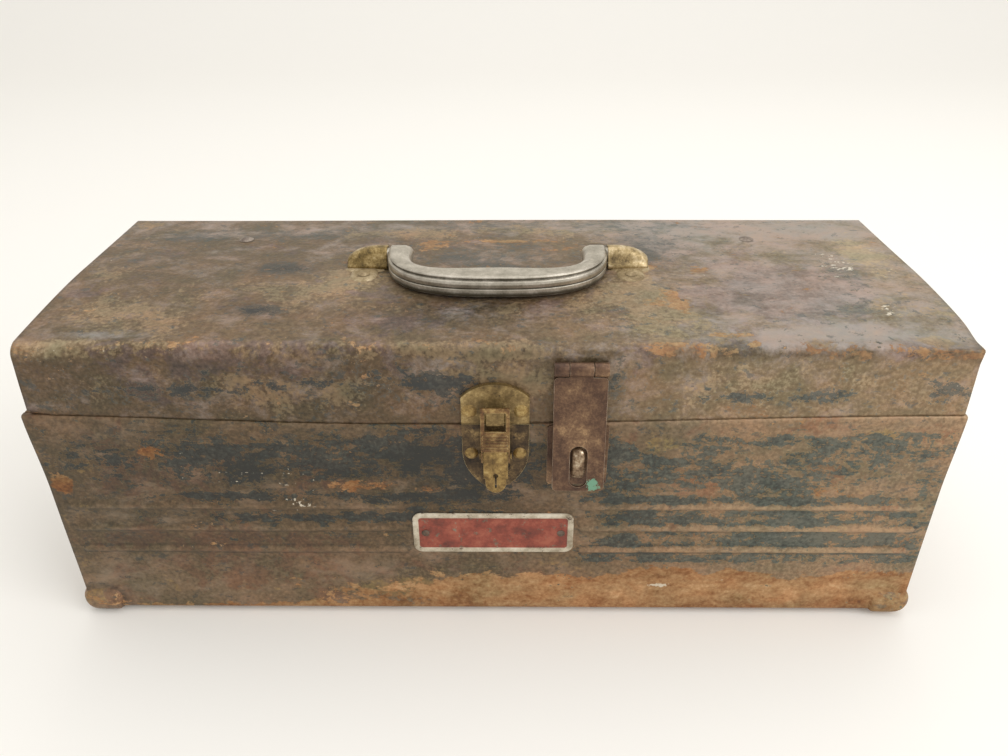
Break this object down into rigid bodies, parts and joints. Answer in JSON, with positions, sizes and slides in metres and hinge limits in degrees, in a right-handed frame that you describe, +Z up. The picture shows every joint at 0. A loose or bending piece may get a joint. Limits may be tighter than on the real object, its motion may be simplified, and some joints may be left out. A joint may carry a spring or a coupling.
{
  "type": "toolbox",
  "caption": "Flat-topped steel toolbox with a hinged lid, folding cast handle, draw latch, padlock hasp and lift-out tray.",
  "frame": {"origin": "on the floor under the middle of the whole box, hardware included", "axes": "+X along the box to its right as seen from the front, +Y from front to back, +Z up"},
  "size_m": [0.4872, 0.1908, 0.1974],
  "materials": {
    "worn_paint_sheet": "worn dark paint over browned steel",
    "worn_paint_feet": "worn dark paint",
    "bare_steel": "dull browned steel",
    "enamel_plate": "faded enamel",
    "plated_latch": "worn brass-toned plating",
    "rusted_hasp": "browned steel",
    "brass_plated": "tarnished",
    "cast_handle": "worn casting",
    "tray_paint": "satin paint"
  },
  "bodies": {
    "base": {"base_wrap": "worn_paint_sheet", "base_end_left": "worn_paint_sheet", "base_end_right": "worn_paint_sheet", "foot_front_left": "worn_paint_feet", "foot_front_right": "worn_paint_feet", "foot_back_left": "worn_paint_feet", "foot_back_right": "worn_paint_feet", "hinge_leaf_base": "bare_steel", "hinge_pin": "bare_steel", "name_plate": "enamel_plate", "name_plate_rivets": "plated_latch", "latch_shield": "plated_latch", "latch_shield_rivets": "plated_latch", "latch_lever_pin": "plated_latch", "staple_plate": "rusted_hasp", "staple_plate_rivets": "rusted_hasp", "hasp_staple": "rusted_hasp", "tray_rest_left": "bare_steel", "tray_rest_right": "bare_steel", "tray_rest_rivets": "bare_steel"},
    "lid": {"lid_wrap": "worn_paint_sheet", "lid_end_left": "worn_paint_sheet", "lid_end_right": "worn_paint_sheet", "hinge_leaf_lid": "bare_steel", "lid_rivets": "bare_steel", "latch_strike": "plated_latch", "latch_strike_rivets": "plated_latch", "hasp_leaf": "rusted_hasp", "hasp_leaf_rivets": "rusted_hasp", "hasp_pin": "rusted_hasp", "handle_bracket_left": "brass_plated", "handle_bracket_right": "brass_plated", "handle_bracket_rivets": "brass_plated"},
    "handle_bow": {"handle": "cast_handle"},
    "hasp_strap": {"hasp_strap": "rusted_hasp"},
    "latch_lever": {"latch_lever": "plated_latch", "latch_link_pin": "plated_latch"},
    "latch_link": {"latch_link": "plated_latch"},
    "tray": {"tray_pan": "tray_paint", "tray_strap": "tray_paint", "tray_strap_rivets": "bare_steel"}
  },
  "joints": [
    {"name": "lid_hinge", "type": "hinge", "parent": "base", "child": "lid", "pos_m": [0, 0.09244, 0.141], "axis": [-1, 0, 0], "range_deg": [0, 110]},
    {"name": "handle_fold", "type": "hinge", "parent": "lid", "child": "handle_bow", "pos_m": [0.002, 0.00984, 0.19165], "axis": [-1, 0, 0], "range_deg": [0, 180]},
    {"name": "hasp_swing", "type": "hinge", "parent": "lid", "child": "hasp_strap", "pos_m": [0.045, -0.08716, 0.1705], "axis": [-1, 0, 0], "range_deg": [-7, 165]},
    {"name": "latch_lever_lift", "type": "hinge", "parent": "base", "child": "latch_lever", "pos_m": [0.002, -0.08766, 0.1255], "axis": [-1, 0, 0], "range_deg": [0, 95]},
    {"name": "latch_link_swing", "type": "hinge", "parent": "latch_lever", "child": "latch_link", "pos_m": [0.002, -0.08746, 0.1185], "axis": [-1, 0, 0], "range_deg": [-115, 0]},
    {"name": "tray_lift", "type": "slide", "parent": "base", "child": "tray", "axis": [0, 0, 1], "range_m": [0, 0.022]}
  ],
  "couplings": [
    {"joint": "latch_link_swing", "follows": "latch_lever_lift", "ratio": -1}
  ]
}
